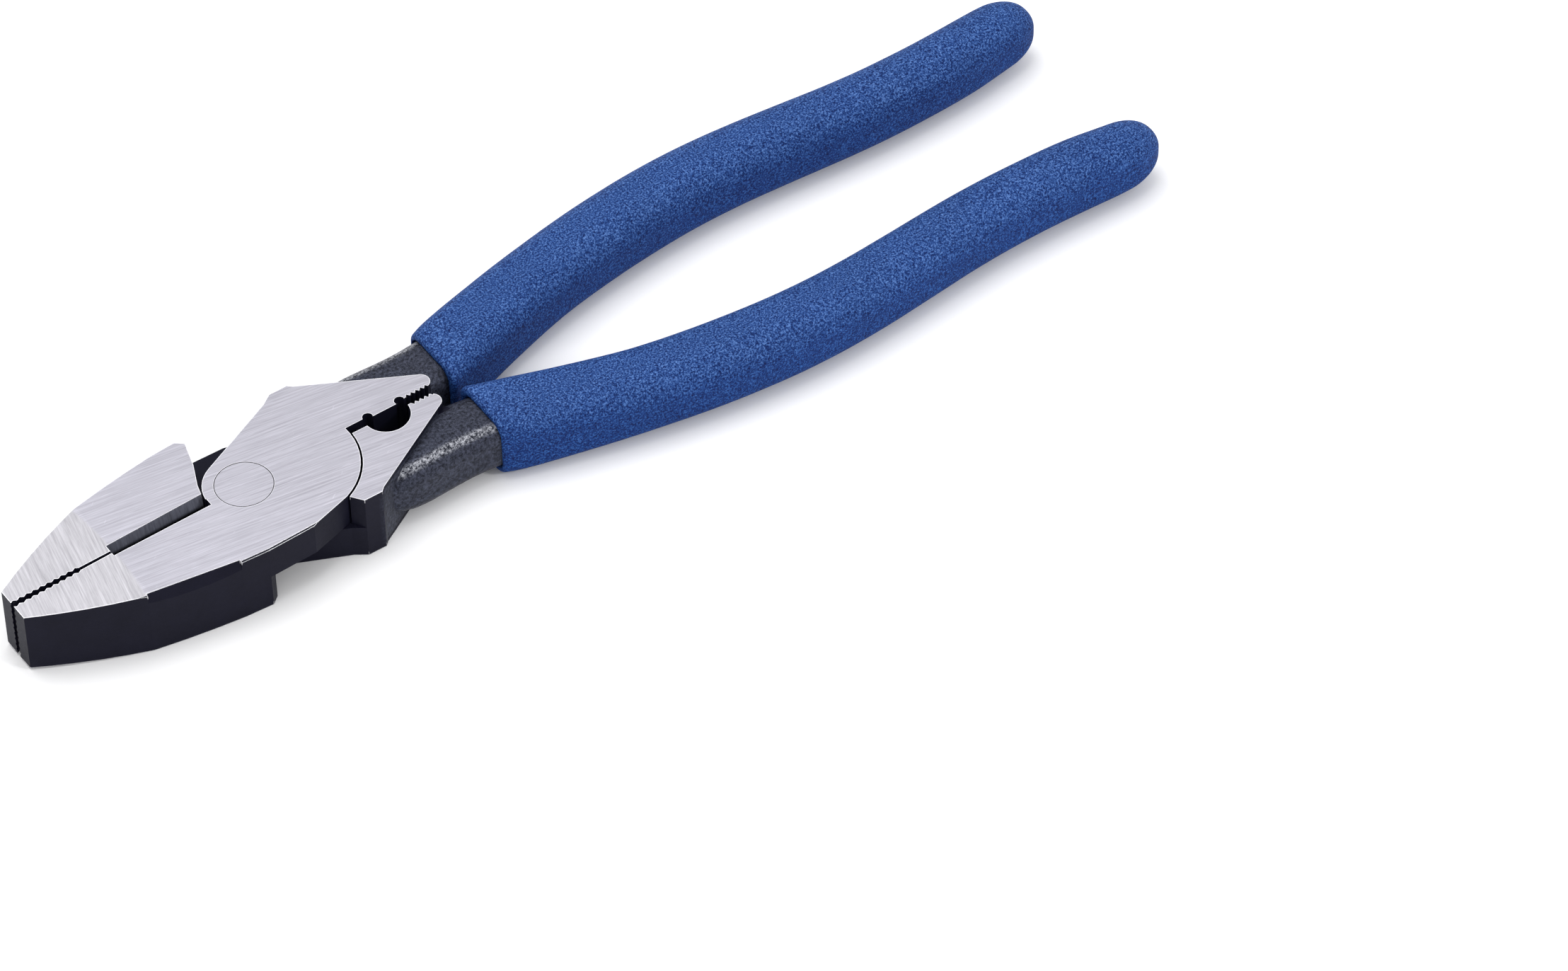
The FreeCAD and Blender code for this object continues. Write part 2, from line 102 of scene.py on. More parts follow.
class Signal:
    """A number socket that takes part in Python arithmetic by adding Math nodes."""

    def __init__(self, tree: "NodeTree", socket: bpy.types.NodeSocket) -> None:
        """Wrap one socket of a node tree.

        Args:
            tree: the tree that new nodes are added to.
            socket: the socket.
        """
        self.tree = tree
        self.socket = socket

    def _maths(self, operation: str, first: object, second: object = 0.0) -> "Signal":
        """Add one Math node.

        Args:
            operation: the Math node's operation.
            first: the first value or signal.
            second: the second value or signal.

        Returns:
            The node's output as a signal.
        """
        node = self.tree.add("ShaderNodeMath", {"operation": operation}, {0: first, 1: second})
        return Signal(self.tree, node.outputs[0])

    def __add__(self, other: object) -> "Signal":
        """Return self + other."""
        return self._maths("ADD", self, other)

    __radd__ = __add__

    def __sub__(self, other: object) -> "Signal":
        """Return self - other."""
        return self._maths("SUBTRACT", self, other)

    def __rsub__(self, other: object) -> "Signal":
        """Return other - self."""
        return self._maths("SUBTRACT", other, self)

    def __mul__(self, other: object) -> "Signal":
        """Return self * other."""
        return self._maths("MULTIPLY", self, other)

    __rmul__ = __mul__

    def __abs__(self) -> "Signal":
        """Return the distance from zero."""
        return self._maths("ABSOLUTE", self)

    def larger(self, other: object) -> "Signal":
        """Return the larger of self and other."""
        return self._maths("MAXIMUM", self, other)

    def rise(self, low: float, high: float) -> "Signal":
        """Ease from 0 at one value to 1 at another; low may be the larger, for a fall.

        Args:
            low: the value that gives 0.
            high: the value that gives 1.

        Returns:
            The eased signal, held between 0 and 1.
        """
        return self._ranged("SMOOTHSTEP", (low, high), (0.0, 1.0))

    def ramp(self, ends: Ramp, values: Ramp) -> "Signal":
        """Go straight from one value to another.

        Args:
            ends: the values of self where the ramp starts and ends.
            values: what it gives at those ends and beyond them.

        Returns:
            The ramp.
        """
        return self._ranged("LINEAR", ends, values)

    def _ranged(self, easing: str, ends: Ramp, values: Ramp) -> "Signal":
        """Add one Map Range node.

        Args:
            easing: the node's interpolation.
            ends: the range that is mapped.
            values: the range that it is mapped to.

        Returns:
            The node's output as a signal.
        """
        node = self.tree.add(
            "ShaderNodeMapRange",
            {"interpolation_type": easing},
            {
                "Value": self,
                "From Min": ends[0],
                "From Max": ends[1],
                "To Min": values[0],
                "To Max": values[1],
            },
        )
        return Signal(self.tree, node.outputs["Result"])

    def swing(self, base: float, depth: float) -> "Signal":
        """Return base where self is 0 and base + depth where it is 1."""
        return self * depth + base


class NodeTree:
    """A node tree with the one method that adds a node to it."""

    def __init__(self, tree: bpy.types.NodeTree) -> None:
        """Empty a node tree.

        Args:
            tree: the tree of a material or of the surroundings.
        """
        self.tree = tree
        self.tree.nodes.clear()

    def add(
        self,
        kind: str,
        settings: dict[str, object] | None = None,
        sockets: dict[int | str, object] | None = None,
    ) -> bpy.types.Node:
        """Add a node, give it its settings, then fill or link its sockets.

        Args:
            kind: the node's type.
            settings: properties such as an operation.
            sockets: a value, a socket or a signal for each input, by name or place.

        Returns:
            The new node.
        """
        node = self.tree.nodes.new(kind)
        for name, value in (settings or {}).items():
            setattr(node, name, value)
        for name, value in (sockets or {}).items():
            if isinstance(value, Signal):
                value = value.socket
            if isinstance(value, bpy.types.NodeSocket):
                self.tree.links.new(value, node.inputs[name])
            else:
                node.inputs[name].default_value = value
        return node

    def part(self, vector: bpy.types.NodeSocket, axis: Axis) -> Signal:
        """Read one component of a vector.

        Args:
            vector: the vector's socket.
            axis: the component.

        Returns:
            The component as a signal.
        """
        node = self.add("ShaderNodeSeparateXYZ", None, {0: vector})
        return Signal(self, node.outputs[axis.value])


class FinishTree(NodeTree):
    """One material's node tree, with the steps that the finishes share."""

    EDGE_COSINES: Ramp = (0.995, 0.9)
    EDGE_SAMPLES = 6

    def __init__(self, name: str) -> None:
        """Start an empty material.

        Args:
            name: the material's name.
        """
        self.material = bpy.data.materials.new(name)
        self.material.use_nodes = True
        super().__init__(self.material.node_tree)
        coordinates = self.add("ShaderNodeTexCoord")
        scaled = self.add(
            "ShaderNodeVectorMath",
            {"operation": "SCALE"},
            {0: coordinates.outputs["Object"], "Scale": 1.0 / MM},
        )
        self.place = scaled.outputs[0]
        self.normal = coordinates.outputs["Normal"]

    def grain(
        self,
        scale: Waves,
        turn_deg: float = 0.0,
        detail: float = 2.0,
        roughness: float = 0.5,
    ) -> Signal:
        """Make noise in the part's own coordinates.

        Args:
            scale: waves per millimetre along X, Y and Z of the turned coordinates.
            turn_deg: turn of the grain's direction about Z.
            detail: number of finer layers.
            roughness: share of the finer layers.

        Returns:
            The noise, around 0.5.
        """
        turned = self.add(
            "ShaderNodeMapping",
            {"vector_type": "TEXTURE"},
            {"Vector": self.place, "Rotation": (0.0, 0.0, math.radians(turn_deg))},
        )
        stretched = self.add(
            "ShaderNodeVectorMath", {"operation": "MULTIPLY"}, {0: turned.outputs[0], 1: scale}
        )
        node = self.add(
            "ShaderNodeTexNoise",
            None,
            {
                "Vector": stretched.outputs[0],
                "Scale": 1.0,
                "Detail": detail,
                "Roughness": roughness,
            },
        )
        return Signal(self, node.outputs[0])

    def mix(self, share: Signal, start: object, end: object) -> bpy.types.NodeSocket:
        """Mix two colours.

        Args:
            share: 0 for the first colour, 1 for the second.
            start: a colour, or a colour socket.
            end: a colour, or a colour socket.

        Returns:
            The mixed colour's socket.
        """
        first, second = (
            value if isinstance(value, bpy.types.NodeSocket) else (*value, 1.0)
            for value in (start, end)
        )
        node = self.add(
            "ShaderNodeMix", {"data_type": "RGBA"}, {0: share, 6: first, 7: second}
        )
        return node.outputs[2]

    def tint(self, colour: object, amount: Signal) -> bpy.types.NodeSocket:
        """Brighten or darken a colour by a signal around 1.

        Args:
            colour: a colour, or a colour socket.
            amount: the factor.

        Returns:
            The tinted colour's socket.
        """
        node = self.add(
            "ShaderNodeVectorMath", {"operation": "SCALE"}, {0: colour, "Scale": amount}
        )
        return node.outputs[0]

    def filtered(self, colour: object, glass: object) -> bpy.types.NodeSocket:
        """Multiply two colours, channel by channel.

        Args:
            colour: a colour socket.
            glass: the colour socket to multiply it by.

        Returns:
            The filtered colour's socket.
        """
        node = self.add("ShaderNodeVectorMath", {"operation": "MULTIPLY"}, {0: colour, 1: glass})
        return node.outputs[0]

    def blend(self, share: Signal, start: object, end: object) -> Signal:
        """Mix two numbers or signals by a third.

        Args:
            share: 0 for the first, 1 for the second.
            start: a number or a signal.
            end: a number or a signal.

        Returns:
            The mixed signal.
        """
        node = self.add("ShaderNodeMix", {"data_type": "FLOAT"}, {0: share, 2: start, 3: end})
        return Signal(self, node.outputs[0])

    # Used to paint highlights along sharp edges.
    def edge_glint_mask(self, radius_mm: float) -> Signal:
        """Find sharp edges by comparing a rounded normal with the true one.

        Args:
            radius_mm: how far from the edge the mask reaches.

        Returns:
            0 on open faces, 1 at an edge.
        """
        rounded = self.add(
            "ShaderNodeBevel", {"samples": self.EDGE_SAMPLES}, {"Radius": radius_mm * MM}
        )
        true = self.add("ShaderNodeNewGeometry")
        dot = self.add(
            "ShaderNodeVectorMath",
            {"operation": "DOT_PRODUCT"},
            {0: rounded.outputs[0], 1: true.outputs["Normal"]},
        )
        return Signal(self, dot.outputs["Value"]).rise(*self.EDGE_COSINES)

    def finish(
        self,
        colour: bpy.types.NodeSocket,
        roughness: object,
        metallic: object,
        height: Signal,
        height_mm: float,
        level: float,
    ) -> bpy.types.Material:
        """Close the tree with a shader, a bump and the output.

        Args:
            colour: the base colour.
            roughness: a number or a signal.
            metallic: a number or a signal.
            height: the surface's relief, 0 to 1.
            height_mm: the relief's full depth.
            level: the shader's specular level.

        Returns:
            The finished material.
        """
        bump = self.add(
            "ShaderNodeBump", None, {"Height": height, "Strength": 1.0, "Distance": height_mm * MM}
        )
        shader = self.add(
            "ShaderNodeBsdfPrincipled",
            None,
            {
                "Base Color": colour,
                "Roughness": roughness,
                "Metallic": metallic,
                "Specular IOR Level": level,
                "Normal": bump.outputs[0],
            },
        )
        self.add("ShaderNodeOutputMaterial", None, {0: shader.outputs[0]})
        return self.material


@dataclass(frozen=True)
class Brushing:
    """The marks that a grinding belt leaves on one kind of ground face."""

    turn_deg: float
    line_waves: Waves
    line_roughness: float
    line_depth: float
    band_waves: Waves
    band_detail: float
    band_depth: float

    def lines(self, tree: FinishTree) -> Signal:
        """Draw the fine lines.

        Args:
            tree: the finish's tree.

        Returns:
            The lines, around 0.5.
        """
        return tree.grain(self.line_waves, self.turn_deg, detail=4.0, roughness=self.line_roughness)

    def shade(self, tree: FinishTree, lines: Signal) -> Signal:
        """Turn the lines and some broad bands into a factor for the face's colour.

        Args:
            tree: the finish's tree.
            lines: the fine lines.

        Returns:
            The factor, around 1.
        """
        bands = tree.grain(self.band_waves, self.turn_deg, detail=self.band_detail)
        return 1.0 + (lines - 0.5) * self.line_depth + (bands - 0.5) * self.band_depth


@dataclass(frozen=True)
class SteelZones:
    """Where each kind of steel surface lies, each signal 0 outside and 1 inside its zone."""

    ground: Signal
    nose: Signal
    knife: Signal
    shank: Signal
    # The last two zones are where highlights are painted.
    ridge_highlight: Signal
    rim_glint: Signal


@dataclass(frozen=True)
class ForgedSteelFinish:
    """Ground faces brushed along the tool, a cross-brushed nose, knives and black forging.

    Lengths are in millimetres of the part's own frame. Each ramp holds the value that is outside
    the zone and the value that is inside it. "Lean" ramps are of the normal's share along Z,
    "under" ramps are depths under a ground face, and each swing is a base and what grain adds.
    """

    middle: float
    face: float
    plate: Colour = (0.41, 0.403, 0.454)
    nose: Colour = (0.41, 0.403, 0.432)
    knife: Colour = (0.125, 0.13, 0.165)
    black: Colour = (0.0078, 0.0078, 0.0165)
    shank: Colour = (0.040, 0.044, 0.064)
    # Colour of the painted highlight on the handles' rounded outer corners.
    sheen_colour: Colour = (0.44, 0.45, 0.49)
    # Colour of the painted highlight along the sharp edges.
    glint: Colour = (0.92, 0.92, 0.95)

    plate_brush: Brushing = Brushing(
        turn_deg=-8.5,
        line_waves=(0.06, 2.8, 0.0),
        line_roughness=0.75,
        line_depth=1.15,
        band_waves=(0.03, 0.7, 0.0),
        band_detail=2.0,
        band_depth=0.15,
    )
    nose_brush: Brushing = Brushing(
        turn_deg=78.0,
        line_waves=(0.09, 2.4, 0.0),
        line_roughness=0.78,
        line_depth=1.3,
        band_waves=(0.1, 0.9, 0.0),
        band_detail=1.0,
        band_depth=0.35,
    )
    scratch_waves: Waves = (0.2, 2.6, 0.0)
    scratch_turn_deg: float = -5.5
    scratch_cut: Ramp = (0.66, 0.74)
    nick_waves: Waves = (0.3, 1.9, 0.0)
    nick_turn_deg: float = 38.0
    nick_cut: Ramp = (0.8, 0.84)
    scratch_depth: float = 0.14
    hatch_waves: Waves = (2.2, 0.3, 0.3)
    sand_waves: Waves = (1.7, 1.7, 1.7)
    cloud_waves: Waves = (0.22, 0.22, 0.22)
    satin_waves: Waves = (1.6, 1.6, 1.6)

    ground_under: Ramp = (0.85, 0.75)
    ground_lean: Ramp = (0.9, 0.97)
    nose_start: Ramp = (27.7, 28.3)
    nose_bow: float = 0.006
    nose_ragged_waves: Waves = (0.1, 3.4, 0.0)
    nose_ragged: float = 1.1
    knife_half: Ramp = (3.0, 2.8)
    knife_heel: Ramp = (7.1, 7.2)
    knife_nose: Ramp = (28.3, 28.2)
    knife_least_lean: Ramp = (0.04, 0.08)
    knife_most_lean: Ramp = (0.9, 0.8)
    # Distances from the middle plane over which the painted shade on the knife fades out.
    knife_shade_ramp: Ramp = (4.6, 5.5)
    shank_start: Ramp = (-18.0, -21.0)
    shank_under: Ramp = (0.7, 1.2)
    dies_half: Ramp = (5.0, 4.7)
    dies_end: Ramp = (-41.3, -41.0)
    ridge_least_lean: Ramp = (0.64, 0.86)
    ridge_most_lean: Ramp = (0.995, 0.93)
    ridge_outward: Ramp = (0.5, 2.0)
    ridge_grain: Ramp = (0.40, 0.68)
    rim_reach: float = 0.26
    rim_under: Ramp = (0.95, 0.6)
    rivet_ring_squared: Ramp = (22.25, 38.25)
    gap_half: Ramp = (1.4, 1.2)
    gap_lean: Ramp = (0.5, 0.3)

    hatch_swing: Swing = (0.3, 1.4)
    cast_grain: Ramp = (0.32, 0.72)
    cast_swing: Swing = (0.25, 1.5)
    knife_metal: float = 0.1
    shank_metal: float = 0.4
    ridge_metal: float = 0.8
    knife_rough: float = 0.5
    forged_rough: Swing = (0.3, 0.2)
    ground_rough: Swing = (0.36, 0.12)
    brush_relief: float = 0.04
    sand_relief: float = 0.4
    satin_relief: float = 0.05
    relief_depth: float = 0.25
    level: float = 0.06

    def _under(self, off_middle: Signal, depths: Ramp) -> Signal:
        """Ramp by the depth under the nearer ground face.

        Args:
            off_middle: the distance from the tool's middle plane.
            depths: the depth that gives 0 and the depth that gives 1.

        Returns:
            The eased signal.
        """
        return off_middle.rise(self.face - depths[0], self.face - depths[1])

    def _zones(self, tree: FinishTree, off_middle: Signal, sand: Signal) -> SteelZones:
        """Find each kind of surface by its place and by the way it leans.

        Args:
            tree: the finish's tree.
            off_middle: the distance from the tool's middle plane.
            sand: the forging's grain, which breaks up the painted highlight on the handles' ridges.

        Returns:
            The zones.
        """
        x, y = tree.part(tree.place, Axis.X), tree.part(tree.place, Axis.Y)
        lean = abs(tree.part(tree.normal, Axis.Z))
        ground = self._under(off_middle, self.ground_under) * lean.rise(*self.ground_lean)

        ragged = tree.grain(self.nose_ragged_waves, roughness=0.8) * self.nose_ragged
        nose = (x - y * y * self.nose_bow + ragged).rise(*self.nose_start)

        knife = abs(y).rise(*self.knife_half) * x.rise(*self.knife_heel) * x.rise(*self.knife_nose)
        knife = knife * lean.rise(*self.knife_least_lean) * lean.rise(*self.knife_most_lean)

        dies = abs(y).rise(*self.dies_half) * x.rise(*self.dies_end)
        shank = x.rise(*self.shank_start) * self._under(off_middle, self.shank_under) * (1.0 - dies)
        # Painted highlight: a lighter, metallic strip on the handles' rounded outer corners, where
        # a lamp's reflection would fall.
        outward = tree.part(tree.normal, Axis.Y) * y
        ridge_highlight = lean.rise(*self.ridge_least_lean) * lean.rise(*self.ridge_most_lean) * shank
        ridge_highlight = ridge_highlight * outward.rise(*self.ridge_outward) * sand.rise(*self.ridge_grain)

        # Painted highlight: thin bright lines along the sharp edges of the ground faces, left out
        # in the jaws' gap and round the rivet.
        gap = abs(y).rise(*self.gap_half) * lean.rise(*self.gap_lean)
        rim_glint = tree.edge_glint_mask(self.rim_reach) * self._under(off_middle, self.rim_under)
        rim_glint = rim_glint * (x * x + y * y).rise(*self.rivet_ring_squared) * (1.0 - gap)
        return SteelZones(ground, nose, knife, shank, ridge_highlight, rim_glint)

    def dress(self, name: str) -> bpy.types.Material:
        """Build the material.

        Args:
            name: the material's name.

        Returns:
            The material.
        """
        tree = FinishTree(name)
        off_middle = abs(tree.part(tree.place, Axis.Z) - self.middle)
        sand = tree.grain(self.sand_waves, detail=4.0, roughness=0.8)
        cloud = tree.grain(self.cloud_waves)
        satin = tree.grain(self.satin_waves, detail=3.0, roughness=0.7)
        zones = self._zones(tree, off_middle, sand)

        along, across = self.plate_brush.lines(tree), self.nose_brush.lines(tree)
        scratch = tree.grain(self.scratch_waves, self.scratch_turn_deg, detail=1.0)
        nick = tree.grain(self.nick_waves, self.nick_turn_deg, detail=0.0)
        cuts = scratch.rise(*self.scratch_cut) + nick.rise(*self.nick_cut)
        brushed = self.plate_brush.shade(tree, along) + cuts * self.scratch_depth
        plate = tree.tint(self.plate, brushed)
        nose = tree.tint(self.nose, self.nose_brush.shade(tree, across))
        bright = tree.mix(zones.nose, plate, nose)

        hatch = tree.grain(self.hatch_waves, detail=3.0, roughness=0.7).swing(*self.hatch_swing)
        # Painted shade: the knife bevel goes black towards the cutting edge, down in the slot
        # between the jaws.
        cut = tree.tint(self.knife, hatch * off_middle.rise(*self.knife_shade_ramp))
        forged = tree.tint(self.black, 0.5 + cloud * 0.5 + sand * 0.5)
        cast = tree.tint(self.shank, sand.rise(*self.cast_grain).swing(*self.cast_swing))
        # Painted highlight: the handles' outer corners get a lighter, metallic colour.
        dark = tree.mix(zones.ridge_highlight, tree.mix(zones.shank, forged, cast), self.sheen_colour)
        colour = tree.mix(zones.ground, tree.mix(zones.knife, dark, cut), bright)
        # Painted highlight along the sharp edges.
        colour = tree.mix(zones.rim_glint, colour, self.glint)

        metal = zones.ground.larger(zones.knife * self.knife_metal).larger(zones.rim_glint)
        metal = metal.larger(zones.shank * self.shank_metal)
        metal = metal.larger(zones.ridge_highlight * self.ridge_metal)
        dull = tree.blend(zones.knife, satin.swing(*self.forged_rough), self.knife_rough)
        roughness = tree.blend(zones.ground, dull, along.swing(*self.ground_rough))
        marks = tree.blend(zones.nose, along, across) * self.brush_relief
        pits = sand * zones.shank * self.sand_relief + satin * self.satin_relief
        relief = tree.blend(zones.ground, pits, marks)
        return tree.finish(colour, roughness, metal, relief, self.relief_depth, self.level)


@dataclass(frozen=True)
class DippedGripFinish:
    """Matte blue vinyl coat with a fine, dense grain of lighter and darker specks, and painted
    light on top and painted shade on the sides.
    """

    body: Colour = (0.0185, 0.060, 0.222)
    pit: Colour = (0.0018, 0.010, 0.07)
    speck: Colour = (0.10, 0.20, 0.47)
    shaded_side_tint: Colour = (0.35, 0.62, 0.85)
    lit_top_tint: Colour = (1.07, 1.07, 1.07)
    lit_top_lean: Ramp = (-0.3, 0.95)
    fine_waves: Waves = (2.7, 2.7, 2.7)
    glitter_waves: Waves = (3.4, 3.4, 3.4)
    cloud_waves: Waves = (0.08, 0.08, 0.08)
    pit_cut: Ramp = (0.53, 0.38)
    speck_cut: Ramp = (0.5, 0.66)
    glitter_cut: Ramp = (0.66, 0.76)
    glitter_share: float = 0.7
    cloud_swing: Swing = (0.9, 0.2)
    rough: Swing = (0.55, 0.25)
    relief_depth: float = 0.2
    level: float = 0.1

    def dress(self, name: str) -> bpy.types.Material:
        """Build the material.

        Args:
            name: the material's name.

        Returns:
            The material.
        """
        tree = FinishTree(name)
        fine = tree.grain(self.fine_waves, detail=3.0, roughness=0.8)
        cloud = tree.grain(self.cloud_waves)
        glitter = tree.grain(self.glitter_waves, detail=1.0).rise(*self.glitter_cut)
        colour = tree.mix(fine.rise(*self.pit_cut), self.body, self.pit)
        colour = tree.mix(fine.rise(*self.speck_cut), colour, self.speck)
        colour = tree.mix(glitter * self.glitter_share, colour, self.speck)
        # Painted light and shade: the coat is lighter on top and darker and bluer on the sides, by
        # the way its surface leans.
        lean = tree.part(tree.normal, Axis.Z)
        glass = tree.mix(lean.rise(*self.lit_top_lean), self.shaded_side_tint, self.lit_top_tint)
        colour = tree.tint(tree.filtered(colour, glass), cloud.swing(*self.cloud_swing))
        roughness = fine.swing(*self.rough)
        return tree.finish(colour, roughness, 0.0, fine, self.relief_depth, self.level)


@dataclass(frozen=True)
class FloorFinish:
    """Pale matt paper."""

    paper: Colour = (0.93, 0.93, 0.94)
    fibre_waves: Waves = (0.4, 0.4, 0.4)
    fibre_swing: Swing = (0.995, 0.01)
    rough: float = 0.9
    relief_depth: float = 0.01
    level: float = 0.1

    def dress(self, name: str) -> bpy.types.Material:
        """Build the material.

        Args:
            name: the material's name.

        Returns:
            The material.
        """
        tree = FinishTree(name)
        fibre = tree.grain(self.fibre_waves, detail=3.0)
        colour = tree.tint(self.paper, fibre.swing(*self.fibre_swing))
        return tree.finish(colour, self.rough, 0.0, fibre, self.relief_depth, self.level)


def set_finish(piece: bpy.types.Object, finish: bpy.types.Material) -> None:
    """Give a piece one finish in place of any that it has.

    Args:
        piece: the piece.
        finish: the finish.
    """
    piece.data.materials.clear()
    piece.data.materials.append(finish)


@dataclass
class ForgedSteelwork:
    """The two forged halves and the rivet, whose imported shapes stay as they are."""

    rivet_node: str = "pivot_rivet"

    def build(self) -> None:
        """Dress both halves and the rivet in ground and blackened steel."""
        low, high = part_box(Side.UPPER.steel)
        middle = (low.z + high.z) / 2 / MM
        face = (high.z - low.z) / 2 / MM
        finish = ForgedSteelFinish(middle, face).dress("ground_and_blackened_steel")
        for node in (Side.UPPER.steel, Side.LOWER.steel, self.rivet_node):
            set_finish(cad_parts[node], finish)
            log.info("dressed %s in ground and blackened steel", node)


@dataclass
class Station:
    """One section of a sleeve's wall, across X: its middle and its half sizes, in metres."""

    x: float
    y: float
    z: float
    wide: float
    high: float

    def scaled(self, share: float, x: float) -> "Station":
        """Shrink the section about its middle and move it along X.

        Args:
            share: the share of its size that is kept.
            x: its new place.

        Returns:
            The new section.
        """
        return Station(x, self.y, self.z, self.wide * share, self.high * share)

    def shrunk(self, inset: float, x: float) -> "Station":
        """Move the section's wall inwards, and move the section along X.

        Args:
            inset: how far the wall moves.
            x: its new place.

        Returns:
            The new section.
        """
        return Station(x, self.y, self.z, self.wide - inset, self.high - inset)


@dataclass
class DippedGrip:
    """One dipped grip: a sleeve with a rolled lip, a soft waviness and a rounded closed end.

    The section's corners grow rounder with the distance from the mouth: corner_reach holds the
    distances, and corner_share the corner's radius there as a share of the half height.
    """

    side: Side
    ring_points: int = 40
    spacing: float = 2.5 * MM
    steel_gap: float = 0.4 * MM
    mouth_inset: float = 0.3 * MM
    first_share: float = 0.6
    lip_flare: tuple[tuple[float, float], ...] = ((0.02 * MM, 0.25 * MM), (0.25 * MM, 0.0))
    corner_reach: tuple[float, ...] = (0.0, 6.5 * MM, 14.5 * MM, 30.5 * MM, 48.5 * MM)
    corner_share: tuple[float, ...] = (0.5, 0.55, 0.65, 0.78, 0.8)
    corner_most: float = 0.95
    lip_round: float = 0.9 * MM
    lip_steps: int = 4
    end_round: float = 9.3 * MM
    end_steps: int = 12
    end_power: float = 0.8
    end_least: float = 0.06
    wave_depth: float = 0.05 * MM
    wave_per_metre: float = 180.0
    packed: np.ndarray | None = None
    mouth: float = 0.0

    def _measure(self) -> None:
        """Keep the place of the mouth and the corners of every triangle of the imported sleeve."""
        self.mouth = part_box(self.side.grip)[1].x
        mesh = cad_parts[self.side.grip].data
        mesh.calc_loop_triangles()
        points = np.array([vertex.co for vertex in mesh.vertices])
        self.packed = points[np.array([triangle.vertices for triangle in mesh.loop_triangles])]

    def _slice(self, x: float, outer: bool) -> Station:
        """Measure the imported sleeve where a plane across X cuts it.

        Args:
            x: the plane's place.
            outer: True for the outer wall, False for the wall around the steel.

        Returns:
            The middle and half sizes of that wall.
        """
        along = self.packed[:, :, 0]
        corners = self.packed[(along.min(1) < x) & (along.max(1) > x)]
        facing = np.cross(corners[:, 1] - corners[:, 0], corners[:, 2] - corners[:, 0])
        middle = (corners.reshape(-1, 3).min(0) + corners.reshape(-1, 3).max(0)) / 2
        outward = ((corners.mean(1) - middle)[:, 1:] * facing[:, 1:]).sum(1) > 0
        corners = corners[outward == outer]
        crossings = []
        for start, end in ((0, 1), (1, 2), (2, 0)):
            first, second = corners[:, start], corners[:, end]
            crosses = (first[:, 0] - x) * (second[:, 0] - x) < 0
            first, second = first[crosses], second[crosses]
            share = (x - first[:, 0]) / (second[:, 0] - first[:, 0])
            crossings.append(first + (second - first) * share[:, None])
        found = np.vstack(crossings)
        low, high = found.min(0), found.max(0)
        middle, half = (low + high) / 2, (high - low) / 2
        return Station(x, middle[1], middle[2], half[1], half[2])

    def _stations(self) -> list[Station]:
        """List the sections from the deep end of the steel's space, round the lip, to the tip.

        Returns:
            The sections in the order of the wall.
        """
        mouth, tip = self.mouth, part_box(self.side.grip)[0].x
        steel_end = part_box(self.side.steel)[0].x
        inside = np.arange(steel_end + self.steel_gap, mouth - self.mouth_inset, self.spacing)
        walls = [self._slice(x, False) for x in inside]
        mouth_in = self._slice(mouth - self.mouth_inset, False)
        mouth_out = self._slice(mouth - self.mouth_inset, True)
        lip = [mouth_in.shrunk(-flare, mouth - depth) for flare, depth in self.lip_flare]
        for step in range(self.lip_steps + 1):
            angle = math.radians(90 - step * 90 / self.lip_steps)
            inset = self.lip_round * (1 - math.cos(angle))
            lip.append(mouth_out.shrunk(inset, mouth - self.lip_round * (1 - math.sin(angle))))
        shoulder = tip + self.end_round
        first = mouth - self.lip_round - self.spacing * self.first_share
        outside = np.arange(first, shoulder, -self.spacing)
        walls += lip + [self._slice(x, True) for x in outside]
        last = self._slice(shoulder, True)
        for step in range(1, self.end_steps + 1):
            angle = math.radians(step * 90 / self.end_steps)
            share = max(math.cos(angle) ** self.end_power, self.end_least)
            walls.append(last.scaled(share, shoulder - self.end_round * math.sin(angle)))
        return walls

    def _ring(self, station: Station) -> list[Vector]:
        """Place the points of one section: a rectangle with large round corners.

        Args:
            station: the section.

        Returns:
            The points in order round it.
        """
        share = float(np.interp(self.mouth - station.x, self.corner_reach, self.corner_share))
        corner = min(station.high * share, station.wide * self.corner_most)
        points = []
        for index in range(self.ring_points):
            angle = math.tau * (index + 0.5) / self.ring_points
            across, up = math.cos(angle), math.sin(angle)
            y = math.copysign(station.wide - corner, across) + corner * across
            z = math.copysign(station.high - corner, up) + corner * up
            points.append(Vector((station.x, station.y + y, station.z + z)))
        return points

    def _settle(self, point: Vector, station: Station) -> Vector:
        """Pull a point slightly towards the middle of its section, as a dipped coat varies.

        Args:
            point: the point.
            station: its section.

        Returns:
            The moved point.
        """
        middle = Vector((station.x, station.y, station.z))
        inward = (middle - point).normalized()
        depth = 0.5 + 0.5 * noise.noise(point * self.wave_per_metre)
        return point + inward * depth * self.wave_depth

    def build(self) -> bpy.types.Object:
        """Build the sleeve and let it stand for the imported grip.

        Returns:
            The sleeve.
        """
        self._measure()
        stations = self._stations()
        count = self.ring_points
        points = [
            self._settle(point, station) for station in stations for point in self._ring(station)
        ]
        faces = [tuple(range(count))]
        for ring in range(len(stations) - 1):
            for index in range(count):
                following = (index + 1) % count
                near, far = ring * count, (ring + 1) * count
                faces.append((near + index, far + index, far + following, near + following))
        faces.append(tuple(reversed(range(len(points) - count, len(points)))))
        name = f"{self.side.value}_dipped_grip"
        mesh = bpy.data.meshes.new(name)
        mesh.from_pydata(points, [], faces)
        mesh.validate()
        mesh.shade_smooth()
        sleeve = bpy.data.objects.new(name, mesh)
        bpy.context.scene.collection.objects.link(sleeve)
        smoothing = sleeve.modifiers.new("smoothing", "SUBSURF")
        smoothing.levels = smoothing.render_levels = 1
        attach(sleeve, self.side.value)
        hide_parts(self.side.grip)
        log.info("built %s from %d sections", name, len(stations))
        return sleeve


